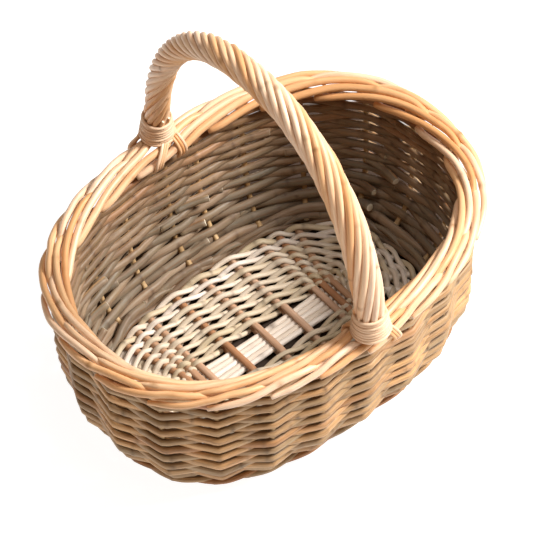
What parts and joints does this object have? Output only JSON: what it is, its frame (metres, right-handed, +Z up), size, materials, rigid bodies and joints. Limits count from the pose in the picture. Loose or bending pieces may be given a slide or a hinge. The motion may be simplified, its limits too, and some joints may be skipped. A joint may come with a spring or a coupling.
{
  "type": "egg collection basket",
  "caption": "Oval woven willow basket with rounded, flaring sides, a plaited border and a fixed rope-wrapped handle across the middle, for collecting eggs.",
  "frame": {"origin": "on the ground under the middle of the basket", "axes": "+Z up, +X along the basket's length, +Y across it in the handle's plane"},
  "size_m": [0.433, 0.3414, 0.401],
  "materials": {
    "base_stick": "matt peeled willow stick, pinkish tan",
    "white_stick": "matt peeled white willow stick",
    "base_weave": "thin peeled willow rod, satin",
    "side_weave": "brown willow rod with the bark on, satin",
    "stake": "buff willow rod, satin",
    "border": "buff peeled willow rod, satin",
    "handle": "buff peeled willow rod, satin"
  },
  "bodies": {
    "root": {"cross_stick_1": "base_stick", "cross_stick_2": "base_stick", "cross_stick_3": "base_stick", "cross_stick_4": "base_stick", "cross_stick_5": "base_stick", "cross_stick_6": "base_stick", "cross_stick_7": "base_stick", "cross_stick_8": "base_stick", "cross_stick_9": "base_stick", "long_stick_1": "white_stick", "long_stick_2": "white_stick", "long_stick_3": "white_stick", "long_stick_4": "white_stick", "long_stick_5": "white_stick", "base_row_01": "base_weave", "base_row_02": "base_weave", "base_row_03": "base_weave", "base_row_04": "base_weave", "base_row_05": "base_weave", "base_row_06": "base_weave", "base_row_07": "base_weave", "base_row_08": "base_weave", "heel_row": "side_weave", "side_row_01": "side_weave", "side_row_02": "side_weave", "side_row_03": "side_weave", "side_row_04": "side_weave", "side_row_05": "side_weave", "side_row_06": "side_weave", "side_row_07": "side_weave", "side_row_08": "side_weave", "side_row_09": "side_weave", "side_row_10": "side_weave", "side_row_11": "side_weave", "side_row_12": "side_weave", "side_row_13": "side_weave", "side_row_14": "side_weave", "side_row_15": "side_weave", "side_row_16": "side_weave", "side_row_17": "side_weave", "side_row_18": "side_weave", "side_row_19": "side_weave", "side_row_20": "side_weave", "side_row_21": "side_weave", "side_row_22": "side_weave", "side_row_23": "side_weave", "stakes": "stake", "border_rods": "border", "handle_bow": "handle", "handle_strands": "handle", "foot_binding_left": "handle", "foot_lashing_left": "handle", "foot_binding_right": "handle", "foot_lashing_right": "handle"}
  },
  "joints": []
}
